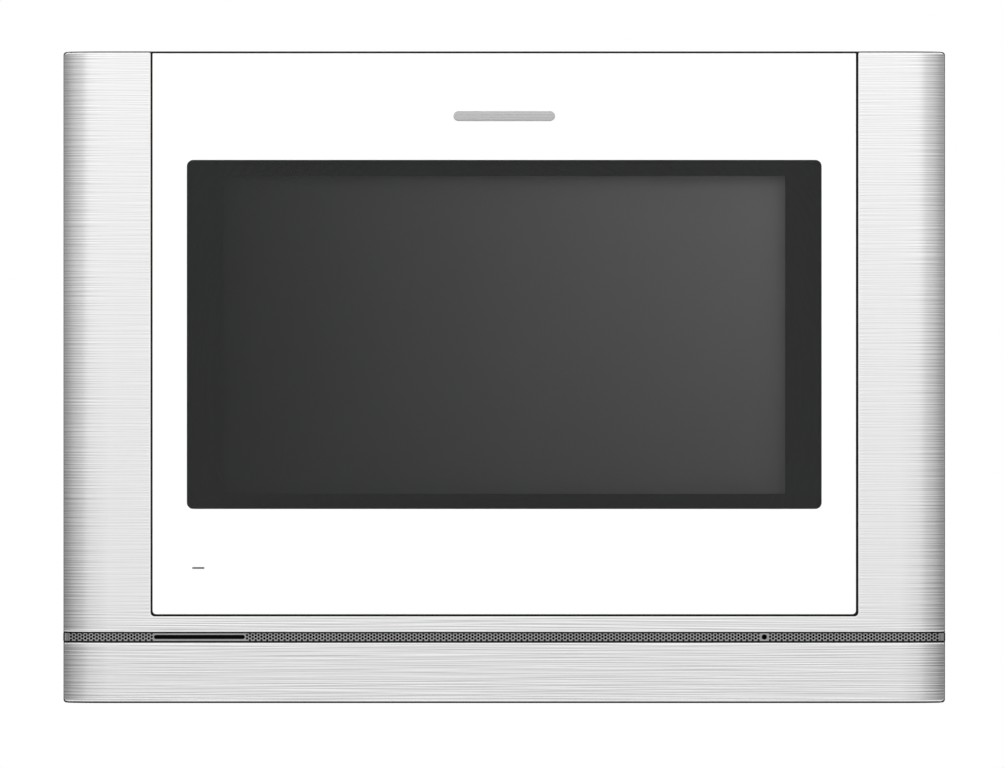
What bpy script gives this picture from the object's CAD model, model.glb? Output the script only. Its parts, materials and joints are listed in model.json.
"""Looks of the wall-mounted video intercom monitor.

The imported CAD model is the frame. The faces seen from the room are rebuilt here as finer meshes,
the other CAD nodes keep their shape with softened edges, and every piece gets a node material.
Lengths are written in millimetres and turned into metres where a mesh is made.
"""

import json
import math

import bmesh
import bpy
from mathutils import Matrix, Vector
from mathutils.geometry import tessellate_polygon


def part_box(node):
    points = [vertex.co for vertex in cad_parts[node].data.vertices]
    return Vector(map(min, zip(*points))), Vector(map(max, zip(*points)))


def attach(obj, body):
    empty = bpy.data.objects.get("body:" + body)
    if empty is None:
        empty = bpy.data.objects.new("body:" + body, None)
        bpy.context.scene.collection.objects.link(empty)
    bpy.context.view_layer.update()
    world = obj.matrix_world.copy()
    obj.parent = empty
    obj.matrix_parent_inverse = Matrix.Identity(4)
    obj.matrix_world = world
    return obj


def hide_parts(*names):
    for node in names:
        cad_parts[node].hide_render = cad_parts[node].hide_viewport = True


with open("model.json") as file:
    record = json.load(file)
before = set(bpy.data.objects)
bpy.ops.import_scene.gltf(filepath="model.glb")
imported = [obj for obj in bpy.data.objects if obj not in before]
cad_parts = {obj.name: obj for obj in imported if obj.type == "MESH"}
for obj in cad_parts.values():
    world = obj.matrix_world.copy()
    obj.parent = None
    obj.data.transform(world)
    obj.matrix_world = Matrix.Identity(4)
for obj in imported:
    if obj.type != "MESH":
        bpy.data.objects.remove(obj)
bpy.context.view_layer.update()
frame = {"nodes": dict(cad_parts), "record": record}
nodes = frame["nodes"]

MM = 0.001
FRONT = -31.0  # face of the metal trims
TRIM_HALF = 122.0  # half their width
SIDE_RADIUS = 13.0
CASE_Y = -16.0  # where the trims' and the strip's sides meet the case
PANEL_FRONT = -30.85
PANEL_BACK = -28.85
STRIP_FRONT = -30.4
STRIP_Z = -71.9  # middle of the perforated strip


# ---- materials ----

MATERIALS = {}
RANGE_SOCKETS = ("From Min", "From Max", "To Min", "To Max")


class Look:
    """A node material whose patterns live in the object's own space, in metres."""

    def __init__(self, name, color, roughness, metallic=0.0, **constants):
        self.material = MATERIALS[name] = bpy.data.materials.new(name)
        self.material.use_nodes = True
        self.tree = self.material.node_tree
        self.shader = self.tree.nodes["Principled BSDF"]
        self.shader.inputs["Base Color"].default_value = (*color, 1)
        self.shader.inputs["Roughness"].default_value = roughness
        self.shader.inputs["Metallic"].default_value = metallic
        for socket, value in constants.items():
            self.shader.inputs[socket.replace("_", " ")].default_value = value
        self.place = self.node("ShaderNodeTexCoord").outputs["Object"]
        self.material.diffuse_color = (*color, 1)

    def node(self, kind, **inputs):
        made = self.tree.nodes.new(kind)
        for socket, value in inputs.items():
            self.plug(made.inputs[socket.replace("_", " ")], value)
        return made

    def plug(self, socket, value):
        if isinstance(value, bpy.types.NodeSocket):
            self.tree.links.new(value, socket)
        else:
            socket.default_value = value

    def noise(self, cycles, detail=2.0, rough=0.5, shift=0.0):
        """Noise with this many cycles per metre along x, y and z, moved along z by shift cycles.

        A single number stands for the same cycles along all three.
        """
        stretch = cycles if isinstance(cycles, tuple) else (cycles, cycles, cycles)
        mapped = self.node(
            "ShaderNodeMapping", Vector=self.place, Scale=stretch, Location=(0.0, 0.0, shift)
        )
        made = self.node(
            "ShaderNodeTexNoise",
            Vector=mapped.outputs[0],
            Scale=1.0,
            Detail=detail,
            Roughness=rough,
        )
        return made.outputs["Fac"]

    def remap(self, value, low, high, out_low, out_high, smooth=False):
        """Takes low to out_low and high to out_high, and holds the ends beyond them."""
        made = self.node("ShaderNodeMapRange", Value=value)
        made.interpolation_type = "SMOOTHSTEP" if smooth else "LINEAR"
        for socket, number in zip(RANGE_SOCKETS, (low, high, out_low, out_high)):
            made.inputs[socket].default_value = number
        return made.outputs["Result"]

    def math(self, operation, a, b=0.0):
        made = self.node("ShaderNodeMath")
        made.operation = operation
        self.plug(made.inputs[0], a)
        self.plug(made.inputs[1], b)
        return made.outputs[0]

    def axis(self, name):
        """The place along X, Y or Z, in metres."""
        return self.node("ShaderNodeSeparateXYZ", Vector=self.place).outputs[name]

    def blend(self, factor, a, b):
        """Colour that goes from a to b as factor goes from 0 to 1."""
        made = self.tree.nodes.new("ShaderNodeMix")
        made.data_type = "RGBA"
        self.plug(made.inputs[0], factor)
        for socket, color in ((made.inputs[6], a), (made.inputs[7], b)):
            self.plug(socket, (*color, 1) if isinstance(color, tuple) else color)
        return made.outputs[2]

    def use(self, socket, value):
        self.plug(self.shader.inputs[socket], value)

    def bump(self, height, distance, strength=1.0):
        """Raises the surface by up to distance metres where height is 1."""
        made = self.node("ShaderNodeBump", Height=height, Strength=strength, Distance=distance)
        self.use("Normal", made.outputs[0])


def shade(color, factor):
    return tuple(min(1.0, c * factor) for c in color)


def moulded(name, color, roughness=0.45, grain=1800.0, depth=0.00002, **constants):
    """Moulded plastic, rubber or paint: fine grain in relief, faint cloudiness in colour."""
    look = Look(name, color, roughness, **constants)
    fine = look.noise(grain, 3.0)
    broad = look.noise(40.0, 4.0, 0.6)
    look.use("Base Color", look.blend(broad, shade(color, 0.86), shade(color, 1.14)))
    look.use("Roughness", look.remap(broad, 0.3, 0.7, roughness - 0.05, roughness + 0.07))
    look.bump(fine, depth)


def plated(name, color, roughness=0.3, spread=0.08, spangle=260.0):
    """Plated or rolled sheet metal with soft rolling lines and faint spangle."""
    look = Look(name, color, roughness, metallic=1.0)
    cells = look.node("ShaderNodeTexVoronoi", Vector=look.place, Scale=spangle)
    tint = look.node("ShaderNodeSeparateColor", Color=cells.outputs["Color"]).outputs[0]
    rolled = look.noise((30.0, 900.0, 900.0), 3.0)
    mixed = look.math("ADD", look.math("MULTIPLY", tint, 0.2), look.math("MULTIPLY", rolled, 0.8))
    look.use("Base Color", look.blend(mixed, shade(color, 0.84), shade(color, 1.12)))
    look.use("Roughness", look.remap(mixed, 0.2, 0.8, roughness - spread, roughness + spread))
    look.bump(rolled, 0.000006)


STROKE_CYCLES = (28.0, 28.0, 4000.0)
STROKE_SHIFT = 1.1  # cycles; the difference of two noises so far apart has no broad bands
# Metres over which the brushed metal changes: outwards from the middle, or downwards.
SIDE_BITE = (0.108, 0.119)  # the strokes grow deeper
LOW_BITE = (-0.062, -0.068)
SIDE_DULL = (0.1095, 0.1215)  # the metal grows darker
SIDE_DULL_HEIGHT = (0.03, -0.06)  # that darkening sets in
LOW_DULL = (-0.06, -0.075)  # the metal grows a little darker


def brushed(name, color, roughness=0.4, streak=(0.105, 0.215), low_streak=0.265):
    """Metal brushed along its width; streak is the strokes' depth in front and at the sides."""
    look = Look(name, color, roughness, metallic=1.0, Anisotropic=0.5, Anisotropic_Rotation=0.25)
    here, beside = (look.noise(STROKE_CYCLES, 0.0, shift=shift) for shift in (0.0, STROKE_SHIFT))
    strokes = look.math("SUBTRACT", here, beside)
    spread = look.remap(strokes, -0.25, 0.25, -1.0, 1.0)
    out = look.math("ABSOLUTE", look.axis("X"))
    height = look.axis("Z")

    side_bite = look.remap(out, *SIDE_BITE, *streak, smooth=True)
    low_bite = look.remap(height, *LOW_BITE, streak[0], low_streak, smooth=True)
    depth = look.math("MAXIMUM", side_bite, low_bite)
    side_dull = look.math(
        "MULTIPLY",
        look.remap(out, *SIDE_DULL, 0.0, 0.28),
        look.remap(height, *SIDE_DULL_HEIGHT, 0.0, 1.0),
    )
    dull = look.math("ADD", side_dull, look.remap(height, *LOW_DULL, 0.0, 0.05))
    plain = look.math("SUBTRACT", 1.0, dull)
    tone = look.math("ADD", plain, look.math("MULTIPLY", spread, depth))

    scaled = look.node("ShaderNodeVectorMath")
    scaled.operation = "SCALE"
    scaled.inputs[0].default_value = color
    look.plug(scaled.inputs["Scale"], tone)
    look.use("Base Color", scaled.outputs[0])
    look.use("Roughness", look.remap(spread, -1.0, 1.0, roughness + 0.06, roughness - 0.06))
    look.bump(strokes, 0.00002, 0.3)
    # The highlight follows the brushing across the front and round both sides.
    tangent = look.node("ShaderNodeTangent")
    tangent.direction_type = "RADIAL"
    tangent.axis = "Z"
    look.use("Tangent", tangent.outputs[0])


def acrylic_white(name):
    """Polished white acrylic over a white back print."""
    look = Look(name, (0.94, 0.94, 0.94), 0.12, Specular_IOR_Level=0.5, Coat_Weight=0.3)
    cloud = look.noise(18.0, 3.0)
    look.use("Base Color", look.blend(cloud, (0.975, 0.975, 0.98), (0.985, 0.985, 0.985)))
    look.use("Roughness", look.remap(cloud, 0.3, 0.7, 0.08, 0.14))
    look.bump(look.noise(70.0, 1.0), 0.000004)


def smoked(name, alpha):
    """Smoked acrylic: dark, glossy and partly clear."""
    color = (0.0108, 0.0122, 0.0115)
    look = Look(name, color, 0.06, Alpha=alpha, Specular_IOR_Level=0.5)
    film = look.noise(25.0, 3.0)
    look.use("Roughness", look.remap(film, 0.3, 0.7, 0.04, 0.09))
    look.use("Base Color", look.blend(film, shade(color, 0.8), shade(color, 1.2)))
    look.material.surface_render_method = "BLENDED"


def screen(name):
    """The display's own face: a grey polariser, darker towards the lower left."""
    look = Look(name, (0.2, 0.2, 0.2), 0.4, Specular_IOR_Level=0.2)
    # Metres from the display's left edge to its right, and from its bottom to its top.
    across = look.remap(look.axis("X"), -0.079, 0.074, 0.06, 1.0)
    up = look.remap(look.axis("Z"), -0.033, 0.045, 0.56, 1.0)
    cloud = look.remap(look.noise(9.0, 1.0), 0.3, 0.7, 0.97, 1.03)
    place = look.math("MULTIPLY", look.math("MULTIPLY", across, up), cloud)
    look.use("Base Color", look.blend(place, (0.0, 0.0, 0.0), (0.435, 0.44, 0.435)))
    look.bump(look.noise(4200.0, 1.0), 0.000002)


def circuit(name):
    """Solder mask with patches of parallel tracks under it, running along x or along z."""
    color = (0.012, 0.1, 0.04)
    half_pitch = 0.0005
    look = Look(name, color, 0.32, Specular_IOR_Level=0.5)
    upright, level = (
        look.remap(look.math("PINGPONG", look.axis(axis), half_pitch), 0.0002, 0.00026, 0.0, 1.0)
        for axis in ("X", "Z")
    )
    turned = look.remap(look.noise(55.0, 0.0), 0.495, 0.505, 0.0, 1.0)
    lines = look.math(
        "ADD",
        look.math("MULTIPLY", upright, turned),
        look.math("MULTIPLY", level, look.math("SUBTRACT", 1.0, turned)),
    )
    patches = look.remap(look.noise(90.0, 1.0), 0.5, 0.52, 0.0, 1.0)
    track = look.math("MULTIPLY", lines, patches)
    look.use("Base Color", look.blend(track, color, shade(color, 1.9)))
    look.use("Roughness", look.remap(track, 0.0, 1.0, 0.3, 0.42))
    look.bump(track, 0.00003)


def capsule(name, metal, felt):
    """An electret capsule: a turned can with black felt over its front."""
    look = Look(name, metal, 0.3)
    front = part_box("microphone")[0].y
    felt_back = front + 0.0006
    cover = look.remap(look.axis("Y"), felt_back, felt_back + 0.0001, 1.0, 0.0)
    ring = look.noise(900.0, 2.0)
    look.use("Base Color", look.blend(cover, look.blend(ring, metal, shade(metal, 1.2)), felt))
    look.use("Metallic", look.remap(cover, 0.0, 1.0, 1.0, 0.0))
    look.use("Roughness", look.remap(cover, 0.0, 1.0, 0.28, 0.95))
    look.bump(ring, 0.00002)


def woven(name, color):
    """Fine acoustic cloth."""
    look = Look(name, color, 0.9, Specular_IOR_Level=0.15)
    warp, weft = (
        look.node("ShaderNodeTexWave", Vector=look.place, Scale=900.0, Distortion=0.4)
        for _ in range(2)
    )
    weft.bands_direction = "Z"
    weave = look.math("MULTIPLY", warp.outputs["Fac"], weft.outputs["Fac"])
    look.use("Base Color", look.blend(weave, shade(color, 0.5), shade(color, 1.6)))
    look.bump(weave, 0.00008)


# Each line makes one material. The numbers after a moulded one's colour are its roughness, the
# grain's cycles per metre and the grain's depth; after a plated one's, its roughness, how far that
# varies, and the spangle's cycles per metre.
brushed("trim_metal", (0.79, 0.788, 0.79))
moulded("trim_edge", (0.86, 0.86, 0.86), 0.3, 900.0, 0.000004)
brushed("badge_silver", (0.48, 0.48, 0.48), 0.25, (0.07, 0.07), 0.07)
acrylic_white("panel_white")
smoked("window_dark", 0.6)
smoked("window_back", 0.05)
screen("lcd_glass")
plated("strip_grey", (0.34, 0.34, 0.345), 0.4, 0.05, 700.0)
moulded("hole_dark", (0.002, 0.002, 0.002), 0.9, 2500.0, Specular_IOR_Level=0.1)
moulded("case_black", (0.016, 0.016, 0.018), 0.5, 1500.0, 0.00004, Specular_IOR_Level=0.35)
moulded("case_gloss", (0.005, 0.005, 0.006), 0.4, 1500.0, 0.00001, Specular_IOR_Level=0.25)
plated("bracket_steel", (0.6, 0.61, 0.62), 0.36, 0.06, 320.0)
plated("chassis_steel", (0.58, 0.59, 0.6), 0.34)
plated("screw_steel", (0.5, 0.5, 0.5), 0.28, 0.06, 900.0)
plated("speaker_steel", (0.6, 0.6, 0.6), 0.3)
plated("magnet_grey", (0.4, 0.4, 0.42), 0.3)
plated("can_tin", (0.66, 0.67, 0.68), 0.3)
plated("lcd_frame", (0.62, 0.62, 0.63), 0.32)
capsule("mic_metal", (0.7, 0.7, 0.7), (0.008, 0.008, 0.008))
plated("capacitor", (0.6, 0.62, 0.65), 0.28, 0.06, 700.0)
plated("sink_metal", (0.5, 0.51, 0.53), 0.4)
plated("pin_brass", (0.8, 0.62, 0.25), 0.25)
circuit("board_green")
woven("cloth_black", (0.004, 0.004, 0.004))
moulded("print_black", (0.004, 0.004, 0.004), 0.7, 3000.0, 0.000002, Specular_IOR_Level=0.2)
moulded("tape_grey", (0.6, 0.6, 0.58), 0.7)
moulded("light_pipe", (0.16, 0.165, 0.17), 0.25, 3000.0)
moulded("foam_black", (0.015, 0.015, 0.015), 0.9, 1400.0, 0.0001)
moulded("rubber_black", (0.012, 0.012, 0.012), 0.75, 1200.0, 0.00005)
moulded("backlight_white", (0.85, 0.85, 0.83), 0.5)
moulded("ribbon_amber", (0.42, 0.17, 0.03), 0.22, 600.0)
moulded("pad_grey", (0.06, 0.06, 0.06), 0.8, 1500.0, 0.0001)
moulded("led_clear", (0.8, 0.8, 0.62), 0.2, 2500.0)
moulded("cone_black", (0.02, 0.02, 0.02), 0.55, 900.0)
moulded("wire_red", (0.42, 0.015, 0.012), 0.4, 1600.0)
moulded("wire_yellow", (0.6, 0.42, 0.03), 0.4, 1600.0)
moulded("wire_grey", (0.3, 0.3, 0.3), 0.4, 1600.0)
moulded("chip_black", (0.014, 0.014, 0.014), 0.55, 2200.0)
moulded("socket_ivory", (0.72, 0.68, 0.55), 0.4)
moulded("relay_blue", (0.01, 0.06, 0.32), 0.35)
moulded("terminal_green", (0.01, 0.2, 0.05), 0.4)
moulded("winding_yellow", (0.62, 0.45, 0.04), 0.45, 700.0)
moulded("sleeve_blue", (0.01, 0.02, 0.09), 0.3)
moulded("fuse_glass", (0.7, 0.75, 0.75), 0.1, Alpha=0.5)
moulded("label_silver", (0.62, 0.62, 0.62), 0.4, 900.0)
moulded("dial_black", (0.09, 0.09, 0.094), 0.45, 1800.0, 0.00004)
moulded("pot_grey", (0.12, 0.12, 0.13), 0.45)
moulded("knob_white", (0.75, 0.75, 0.72), 0.4)


# ---- mesh helpers ----


def make(name, points, faces, slots=None):
    """A mesh object from points in millimetres; slots gives each face's material index."""
    mesh = bpy.data.meshes.new(name)
    mesh.from_pydata([Vector(p) * MM for p in points], [], faces)
    if slots:
        mesh.polygons.foreach_set("material_index", slots)
    work = bmesh.new()
    work.from_mesh(mesh)
    bmesh.ops.remove_doubles(work, verts=work.verts, dist=1e-7)
    bmesh.ops.recalc_face_normals(work, faces=work.faces)
    work.to_mesh(mesh)
    work.free()
    piece = bpy.data.objects.new(name, mesh)
    bpy.context.scene.collection.objects.link(piece)
    return piece


def slab(name, outline, y0, y1):
    """An outline of (x, z) points given thickness from depth y0 to depth y1."""
    count = len(outline)
    points = [(x, y, z) for y in (y0, y1) for x, z in outline]
    sides = [(i, (i + 1) % count, count + (i + 1) % count, count + i) for i in range(count)]
    ends = [tuple(range(count)), tuple(range(2 * count - 1, count - 1, -1))]
    return make(name, points, [*ends, *sides])


def skin(name, outer, inner, heights):
    """A sheet between two level paths of (x, y) points; heights gives its ends at a point's x."""
    count = len(outer)
    points = [(x, y, heights(x)[end]) for end in (0, 1) for path in (outer, inner) for x, y in path]
    faces = []
    for i in range(count - 1):
        a, b, c, d = i, count + i, 2 * count + i, 3 * count + i
        faces += [(a, a + 1, c + 1, c), (b, d, d + 1, b + 1)]
        faces += [(a, b, b + 1, a + 1), (c, c + 1, d + 1, d)]
    for i in (0, count - 1):
        faces.append((i, 2 * count + i, 3 * count + i, count + i))
    return make(name, points, faces)


def arc(x, y, radius, start, steps):
    """A quarter turn round (x, y) that begins at start degrees."""
    angles = [math.radians(start + 90 * i / steps) for i in range(steps + 1)]
    return [(x + radius * math.cos(a), y + radius * math.sin(a)) for a in angles]


def body_path(half, front, radius, back, steps=28):
    """The level outline of the monitor's front and sides, from the left back to the right back."""
    left = arc(radius - half, front + radius, radius, 180, steps)
    right = arc(half - radius, front + radius, radius, 270, steps)
    return [(-half, back), *left, *right, (half, back)]


def soft_rect(x0, x1, z0, z1, radius, steps=10):
    """A rectangle of (x, z) points with rounded corners."""
    left, right, low, high = x0 + radius, x1 - radius, z0 + radius, z1 - radius
    corners = ((right, high, 0), (left, high, 90), (left, low, 180), (right, low, 270))
    return [point for x, z, start in corners for point in arc(x, z, radius, start, steps)]


def circle(x, z, radius, steps):
    turns = [math.tau * i / steps for i in range(steps)]
    return [(x + radius * math.cos(a), z + radius * math.sin(a)) for a in turns]


def apply_modifiers(piece):
    shown = piece.evaluated_get(bpy.context.evaluated_depsgraph_get())
    mesh = bpy.data.meshes.new_from_object(shown)
    piece.modifiers.clear()
    piece.data = mesh


def cut(piece, *cutters):
    """Takes the cutters' shapes out of the piece, and removes the cutters."""
    for cutter in cutters:
        hole = piece.modifiers.new("cut", "BOOLEAN")
        hole.operation = "DIFFERENCE"
        hole.object = cutter
        hole.solver = "EXACT"
        apply_modifiers(piece)
        bpy.data.objects.remove(cutter)


def soften(piece, width, segments=3, angle=30, edge_slot=-1, clamp=True):
    """Rounds the sharp edges by this many millimetres and shades the faces evenly.

    The rounded edges take the material numbered edge_slot, or by default that of their faces.
    """
    piece.data.shade_smooth()
    edge = piece.modifiers.new("edges", "BEVEL")
    edge.width = width * MM
    edge.segments = segments
    edge.limit_method = "ANGLE"
    edge.angle_limit = math.radians(angle)
    edge.material = edge_slot
    edge.use_clamp_overlap = clamp
    even = piece.modifiers.new("shading", "WEIGHTED_NORMAL")
    even.keep_sharp = True
    return piece


REPLACED = set()


def fit(piece, node, slot, *extra):
    """Gives a piece its materials, its place on the monitor and the CAD node that it stands for."""
    for name in (slot, *extra):
        piece.data.materials.append(MATERIALS[name])
    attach(piece, "monitor")
    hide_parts(node)
    REPLACED.add(node)


# ---- brushed trims ----

TRIM_TOP = 89.88
TRIM_BOTTOM = -89.74
TRIM_ABOVE_STRIP = STRIP_Z + 1.4
TRIM_BELOW_STRIP = STRIP_Z - 1.6
OPENING = (-97.9, 98.02, -66.19, 120.0)  # for the front panel; it runs out over the top
TRIM_SHEET = 0.95  # thickness
TRIM_EDGE = 0.34  # bright rounding of its edges
CORNER = 0.8  # radius of the monitor's outer corners, seen from the front
CUT_THROUGH = (-40.0, -20.0)  # depths between which a cutter goes through every front sheet


def trim(name, z0, z1):
    """One brushed skin. Where it ends at the monitor's top or bottom, its outer corner is round."""

    def heights(x):
        over = abs(x) - (TRIM_HALF - CORNER)
        drop = CORNER - math.sqrt(max(0.0, CORNER**2 - over**2)) if over > 0 else 0.0
        return z0 + (drop if z0 == TRIM_BOTTOM else 0.0), z1 - (drop if z1 == TRIM_TOP else 0.0)

    outer = body_path(TRIM_HALF, FRONT, SIDE_RADIUS, CASE_Y)
    inner = body_path(
        TRIM_HALF - TRIM_SHEET, FRONT + TRIM_SHEET, SIDE_RADIUS - TRIM_SHEET, CASE_Y
    )
    return skin(name, outer, inner, heights)


upper_trim = trim("upper_trim_skin", TRIM_ABOVE_STRIP, TRIM_TOP)
lower_trim = trim("lower_trim_skin", TRIM_BOTTOM, TRIM_BELOW_STRIP)
cut(upper_trim, slab("opening", soft_rect(*OPENING, radius=1.1), *CUT_THROUGH))
for piece, node in ((upper_trim, "upper_trim"), (lower_trim, "lower_trim")):
    soften(piece, TRIM_EDGE, edge_slot=1, clamp=False)
    fit(piece, node, "trim_metal", "trim_edge")

# Thin seals behind the trims' back edges. They draw a dark line down both sides of the front.
SEAL_INNER = 118.5
SEAL_OUTER = TRIM_HALF + 0.2
SEAL_HALF_HEIGHT = 90.18
for side, end in (("left", -1), ("right", 1)):
    x0, x1 = sorted((end * SEAL_INNER, end * SEAL_OUTER))
    outline = soft_rect(x0, x1, -SEAL_HALF_HEIGHT, SEAL_HALF_HEIGHT, radius=0.9)
    seal = slab(f"trim_seal_{side}", outline, CASE_Y + 0.1, CASE_Y + 1.2)
    seal.data.materials.append(MATERIALS["rubber_black"])
    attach(seal, "monitor")


# ---- front panel, window and badge ----

# Left, right, bottom and top of each.
PANEL = (-97.34, 97.34, -65.6, 89.66)
WINDOW = (-87.8, 87.8, -36.4, 60.1)
WINDOW_RADIUS = 1.7
WINDOW_GAP = 0.05
STATUS_MARK = (-86.4, -83.0, -53.04, -52.56)
BADGE = (-14, 14, 71.0, 73.6)
BADGE_HEIGHT = 0.35


def panel_outline():
    """The front panel's outline: rounded below, nearly square above."""
    low = soft_rect(*PANEL, radius=1.0)
    high = soft_rect(*PANEL, radius=0.2)
    return high[: len(high) // 2] + low[len(low) // 2 :]


x0, x1, z0, z1 = WINDOW
hole = (x0 - WINDOW_GAP, x1 + WINDOW_GAP, z0 - WINDOW_GAP, z1 + WINDOW_GAP)
window_hole = slab("window_hole", soft_rect(*hole, WINDOW_RADIUS + WINDOW_GAP), *CUT_THROUGH)
status_hole = slab("status_hole", soft_rect(*STATUS_MARK, radius=0.2, steps=4), *CUT_THROUGH)
panel = slab("front_panel_sheet", panel_outline(), PANEL_FRONT, PANEL_BACK)
cut(panel, window_hole, status_hole)
fit(soften(panel, 0.1, clamp=False), "front_panel", "panel_white")

window = slab("display_window_pane", soft_rect(*WINDOW, WINDOW_RADIUS), PANEL_FRONT, PANEL_BACK)
fit(soften(window, 0.2, clamp=False), "display_window", "window_dark", "window_back")
for face in window.data.polygons:
    if face.normal.y > 0.5:
        face.material_index = 1  # the back is almost clear, so the pane's tint counts once

badge_outline = soft_rect(*BADGE, radius=1.3, steps=12)
badge = slab("badge_lozenge", badge_outline, PANEL_FRONT - BADGE_HEIGHT, PANEL_FRONT)
fit(soften(badge, 0.25, clamp=False), "badge_bar", "badge_silver")


# ---- perforated strip ----

STRIP_HALF = 122.25
STRIP_RADIUS = 12.6
STRIP_SHEET = 1.35  # thickness
STRIP_TOP = STRIP_Z + 1.1
STRIP_BOTTOM = STRIP_Z - 1.35
FACE_TOP = STRIP_TOP - 0.08
FACE_BOTTOM = STRIP_BOTTOM + 0.23
CHAMFER = 0.18
FLANGE_DEPTH = 0.38
FLANGE_TOP = STRIP_Z + 1.37
FLANGE_BOTTOM = STRIP_Z - 1.57
CAP_X = 121.4  # beyond this the strip's bent end is dark
METAL, DARK = 0, 1  # material numbers

PITCH = 1.6
COLUMN_STEP = PITCH / 2
COLUMNS = 301
HOLE_ROWS = ((-0.88, 0.05, 0.93), (-0.4, 0.5))  # heights of the holes in even and odd columns
HOLE_RADIUS = 0.35
HOLE_DEPTH = 0.75
LAND = 0.02  # metal left between a hole and the face's edge
SPEAKER_SPAN = (-97.2, -71.6)  # sheet that holds the speaker slot in place of columns
SPEAKER_SLOT = (-97.0, -71.8, STRIP_Z - 0.575, STRIP_Z + 0.575)
MIC_SPAN = (70.8, 73.2)
MIC_RADIUS = 0.74

# The plain ends: degrees round the bend and depth of each point of two fine grooves with a rib
# between them, then of the smooth side.
END_PROFILE = (
    (60.9, 0.0),
    (61.4, 0.4),
    (63.4, 0.4),
    (63.9, 0.0),
    (70.0, 0.0),
    (70.8, 0.4),
    (73.4, 0.4),
    (74.0, 0.0),
    (79.0, 0.0),
    (83.0, 0.0),
    (87.0, 0.0),
    (90.0, 0.0),
)


def strip_point(x):
    """Depth and outward normal (x part, y part) of the strip's face at x."""
    over = abs(x) - (STRIP_HALF - STRIP_RADIUS)
    if over <= 0:
        return STRIP_FRONT, 0.0, -1.0
    rise = math.sqrt(max(0.0, STRIP_RADIUS**2 - over**2))
    side = math.copysign(1, x)
    return STRIP_FRONT + STRIP_RADIUS - rise, side * over / STRIP_RADIUS, -rise / STRIP_RADIUS


def sunk_point(x, depth):
    """The (x, y) point this far below the strip's face at x."""
    y, nx, ny = strip_point(x)
    return x - nx * depth, y - ny * depth


def within(loop, z0, z1):
    """A loop with a flat where it would pass the lowest or highest z."""
    flat = [(x, min(max(z, z0), z1)) for x, z in loop]
    kept = []
    for i, (x, z) in enumerate(flat):
        neighbours = (flat[i - 1][1], flat[(i + 1) % len(flat)][1])
        if z not in (z0, z1) or neighbours != (z, z):
            kept.append((x, z))
    return kept


class StripMesh:
    """Collects the points and faces of the strip."""

    def __init__(self):
        self.points = []
        self.faces = []
        self.slots = []

    def lay(self, x, z, depth=0.0):
        """Adds the point over (x, z), sunk below the strip's face, and returns its number."""
        self.points.append((*sunk_point(x, depth), z))
        return len(self.points) - 1

    def face(self, corners, slot=METAL):
        self.faces.append(tuple(corners))
        self.slots.append(slot)

    def sheet(self, outline, holes, depth=0.0):
        """Fills an outline round its holes."""
        loops = [outline, *holes]
        numbers = [self.lay(x, z, depth) for loop in loops for x, z in loop]
        flat = [[Vector((x, z, 0)) for x, z in loop] for loop in loops]
        for triangle in tessellate_polygon(flat):
            self.face([numbers[i] for i in triangle])

    def wall(self, loop, depth, through):
        """Sinks a hole's edge straight in by depth, and gives it a dark floor if it is blind."""
        slot = METAL if through else DARK
        count = len(loop)
        top = [self.lay(x, z) for x, z in loop]
        _, nx, ny = strip_point(sum(x for x, _ in loop) / count)
        low = []
        for x, z in loop:
            self.points.append((x - nx * depth, strip_point(x)[0] - ny * depth, z))
            low.append(len(self.points) - 1)
        for i in range(count):
            j = (i + 1) % count
            self.face([top[i], top[j], low[j], low[i]], slot)
        if not through:
            self.face(low, slot)

    def holed(self, x0, x1, holes, through):
        """The face and the back from x0 to x1, and the holes between them."""
        corners = ((x0, FACE_BOTTOM), (x1, FACE_BOTTOM), (x1, FACE_TOP), (x0, FACE_TOP))
        self.sheet(corners, holes)
        self.sheet(corners, holes if through else [], STRIP_SHEET)
        for loop in holes:
            self.wall(loop, STRIP_SHEET if through else HOLE_DEPTH, through)


def perforate(strip):
    """Lays the holed sheets from left to right, and returns where they meet."""
    seams = []
    x = -COLUMNS * COLUMN_STEP / 2
    column = 0
    while column < COLUMNS:
        seams.append(x)
        middle = x + COLUMN_STEP / 2
        if SPEAKER_SPAN[0] < middle < SPEAKER_SPAN[1]:
            span = SPEAKER_SPAN
            strip.holed(*span, [soft_rect(*SPEAKER_SLOT, radius=0.574, steps=6)], True)
        elif MIC_SPAN[0] < middle < MIC_SPAN[1]:
            span = MIC_SPAN
            strip.holed(*span, [circle(sum(span) / 2, STRIP_Z, MIC_RADIUS, 28)], True)
        else:
            span = (x, x + COLUMN_STEP)
            loops = [circle(middle, STRIP_Z + h, HOLE_RADIUS, 12) for h in HOLE_ROWS[column % 2]]
            holes = [within(loop, FACE_BOTTOM + LAND, FACE_TOP - LAND) for loop in loops]
            strip.holed(*span, holes, False)
        passed = round((span[1] - span[0]) / COLUMN_STEP)
        column += passed
        x += passed * COLUMN_STEP
    return [*seams, x]


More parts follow.
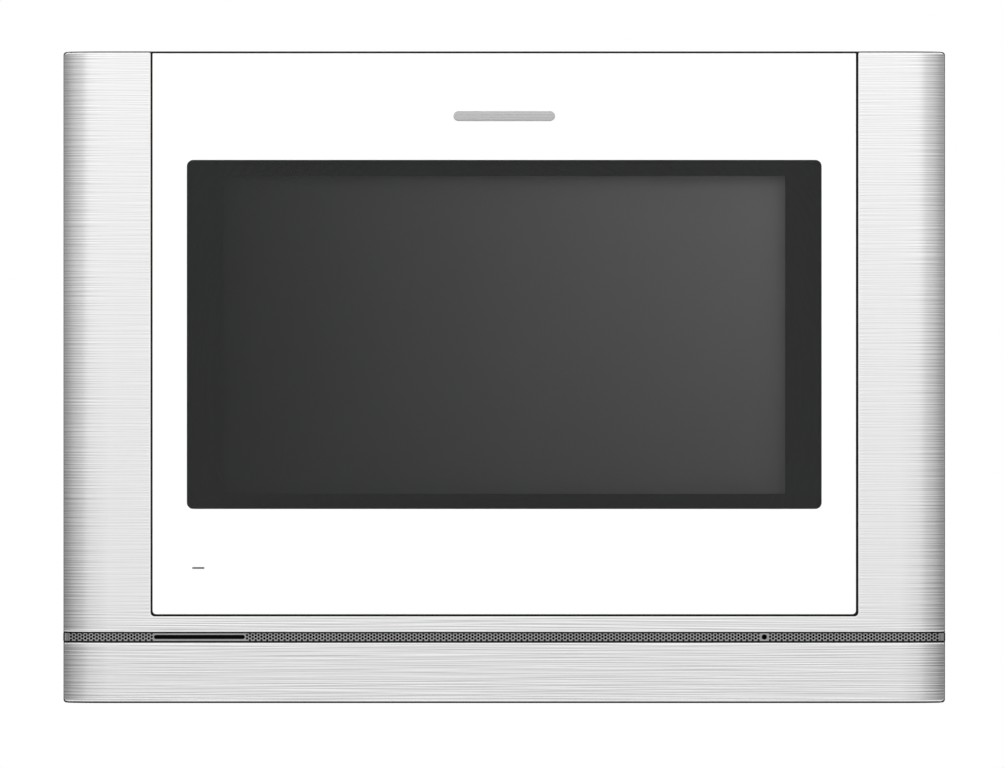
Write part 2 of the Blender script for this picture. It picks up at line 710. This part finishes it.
def strip_piece():
    """The whole strip: the perforated sheets, the plain ends, and the edges round both."""
    strip = StripMesh()
    seams = perforate(strip)

    bend = STRIP_HALF - STRIP_RADIUS
    right = [(bend + STRIP_RADIUS * math.sin(math.radians(a)), depth) for a, depth in END_PROFILE]
    path = [(-x, depth) for x, depth in reversed(right)] + [(x, 0) for x in seams] + right
    lines = {
        "front": ([sunk_point(x, depth) for x, depth in path], 0),
        "chamfer": ([sunk_point(x, depth + CHAMFER) for x, depth in path], CHAMFER),
        "flange": ([sunk_point(x, FLANGE_DEPTH) for x, _ in path], FLANGE_DEPTH),
        "back": ([sunk_point(x, STRIP_SHEET) for x, _ in path], STRIP_SHEET),
    }
    for line, inset in lines.values():
        line.insert(0, (inset - STRIP_HALF, CASE_Y))
        line.append((STRIP_HALF - inset, CASE_Y))

    # The strip's section, once round: each corner's line and height.
    section = (
        ("front", FACE_BOTTOM),
        ("front", FACE_TOP),
        ("chamfer", STRIP_TOP),
        ("flange", STRIP_TOP),
        ("flange", FLANGE_TOP),
        ("back", FLANGE_TOP),
        ("back", FACE_TOP),
        ("back", FACE_BOTTOM),
        ("back", FLANGE_BOTTOM),
        ("flange", FLANGE_BOTTOM),
        ("flange", STRIP_BOTTOM),
        ("chamfer", STRIP_BOTTOM),
    )
    plain_rows = (section.index(("front", FACE_BOTTOM)), section.index(("back", FACE_TOP)))
    first = len(strip.points)
    for name, z in section:
        strip.points += [(x, y, z) for x, y in lines[name][0]]
    front = lines["front"][0]
    count = len(front)
    perforated = range(len(right) + 1, len(right) + len(seams))
    for row in range(len(section)):
        after = (row + 1) % len(section)
        for i in range(count - 1):
            if row in plain_rows and i in perforated:
                continue  # the holed sheets are there
            a, b = first + row * count + i, first + after * count + i
            capped = min(abs(front[i][0]), abs(front[i + 1][0])) > CAP_X
            slot = DARK if capped or row not in plain_rows else METAL
            strip.face([a, a + 1, b + 1, b], slot)
    for i in (0, count - 1):
        strip.face([first + row * count + i for row in range(len(section))])
    return make("sound_strip", strip.points, strip.faces, strip.slots)


fit(strip_piece(), "grille_strip", "strip_grey", "hole_dark")


# ---- CAD nodes that keep their shape ----

FINISHES = {"front_case": "case_gloss"}  # other nodes look like their material slot
EDGE = 0.1
EDGES = {
    "wall_bracket": 0.2,
    "front_case": 0.05,
    "rear_cover": 0.3,
    "case_screws": 0.12,
    "wall_pads": 0.2,
}
for entry in frame["record"]["subparts"]:
    name = entry["node"]
    if name in REPLACED:
        continue
    node = nodes[name]
    look = FINISHES.get(name, entry["material_slot"])
    node.data.materials.clear()
    node.data.materials.append(MATERIALS[look])
    joined = node.modifiers.new("joined", "WELD")
    joined.merge_threshold = 0.00001
    flat = node.modifiers.new("flat", "DECIMATE")
    flat.decimate_type = "DISSOLVE"
    flat.angle_limit = math.radians(1.0)
    soften(node, EDGES.get(name, EDGE), segments=2, angle=40)


# ---- studio ----

VIEW_DISTANCE = 9.0  # metres; far enough to leave almost no perspective
VIEW_WIDTH = 277.9072  # millimetres that the picture is wide at the trims' face
VIEW_CENTRE = (-0.62, -1.87)
LAMP_HEIGHT = 0.95  # metres
# Name, width in metres and radiance of three front lamps in one place, whose light falls off in
# steps towards both sides.
FRONT_LAMPS = (("front_wide", 3.8, 0.86), ("front_middle", 2.0, 0.25), ("front_narrow", 1.1, 0.25))
FLOOR_RADIUS = 1000
FLOOR_Z = -0.16  # metres


def camera():
    """A long lens straight in front of the monitor."""
    data = bpy.data.cameras.new("camera")
    data.sensor_width = 36
    data.lens = data.sensor_width * VIEW_DISTANCE / (VIEW_WIDTH * MM)
    data.clip_end = 100
    eye = bpy.data.objects.new("camera", data)
    x, z = VIEW_CENTRE
    eye.location = (x * MM, FRONT * MM - VIEW_DISTANCE, z * MM)
    eye.rotation_euler = (math.pi / 2, 0, 0)
    bpy.context.scene.collection.objects.link(eye)
    bpy.context.scene.camera = eye


def lamp(name, place, target, width, height, power):
    """A rectangular lamp that the camera doesn't see. Lengths are in metres."""
    data = bpy.data.lights.new(name, "AREA")
    data.shape = "RECTANGLE"
    data.size = width
    data.size_y = height
    data.energy = power
    light = bpy.data.objects.new(name, data)
    light.visible_camera = False
    light.location = place
    light.rotation_euler = (Vector(target) - Vector(place)).to_track_quat("-Z", "Y").to_euler()
    bpy.context.scene.collection.objects.link(light)


def surroundings():
    """White backdrop for the camera; for light, bright in front and darker behind the monitor."""
    world = bpy.data.worlds.new("studio")
    world.use_nodes = True
    bpy.context.scene.world = world
    tree = world.node_tree
    tree.nodes.clear()
    add = tree.nodes.new
    direction = add("ShaderNodeTexCoord")
    parts = add("ShaderNodeSeparateXYZ")
    tree.links.new(direction.outputs["Generated"], parts.inputs[0])
    facing = add("ShaderNodeMapRange")
    facing.interpolation_type = "SMOOTHSTEP"
    # From straight behind the monitor, where y is 1, to just in front of it.
    for socket, number in zip(RANGE_SOCKETS, (1.0, -0.15, 0.3, 0.75)):
        facing.inputs[socket].default_value = number
    tree.links.new(parts.outputs["Y"], facing.inputs["Value"])
    light = add("ShaderNodeBackground")
    light.inputs["Color"].default_value = (1, 1, 1, 1)
    tree.links.new(facing.outputs[0], light.inputs["Strength"])
    backdrop = add("ShaderNodeBackground")
    backdrop.inputs["Color"].default_value = (1, 1, 1, 1)
    backdrop.inputs["Strength"].default_value = 1.0
    path = add("ShaderNodeLightPath")
    choose = add("ShaderNodeMixShader")
    tree.links.new(path.outputs["Is Camera Ray"], choose.inputs[0])
    tree.links.new(light.outputs[0], choose.inputs[1])
    tree.links.new(backdrop.outputs[0], choose.inputs[2])
    tree.links.new(choose.outputs[0], add("ShaderNodeOutputWorld").inputs[0])


def floor():
    """A pale round floor that fades out at its rim and can't be seen from below."""
    look = Look("floor_pale", (0.86, 0.86, 0.86), 0.6)
    cloud = look.noise(3.0, 3.0)
    look.use("Base Color", look.blend(cloud, (0.84, 0.84, 0.845), (0.88, 0.88, 0.88)))
    distance = look.node("ShaderNodeVectorMath", Vector=look.place)
    distance.operation = "LENGTH"
    solid = look.remap(distance.outputs["Value"], 0.45, 0.95, 1.0, 0.0, smooth=True)
    beneath = look.node("ShaderNodeNewGeometry").outputs["Backfacing"]
    look.use("Alpha", look.math("MULTIPLY", solid, look.math("SUBTRACT", 1.0, beneath)))
    rim = circle(0, 0, FLOOR_RADIUS, 96)
    ground = make("floor", [(x, y, 0) for x, y in rim], [tuple(range(len(rim)))])
    ground.location.z = FLOOR_Z
    ground.data.materials.append(look.material)


camera()
surroundings()
floor()
for name, width, radiance in FRONT_LAMPS:
    power = radiance * math.pi * width * LAMP_HEIGHT
    lamp(name, (0, -0.78, 0.6), (0, 0, 0.6), width, LAMP_HEIGHT, power)
lamp("back_soft", (0.3, 1.9, 1.5), (0, 0, 0), 2.8, 2.0, 26)

scene = bpy.context.scene
scene.view_settings.view_transform = "Standard"
scene.view_settings.look = "None"
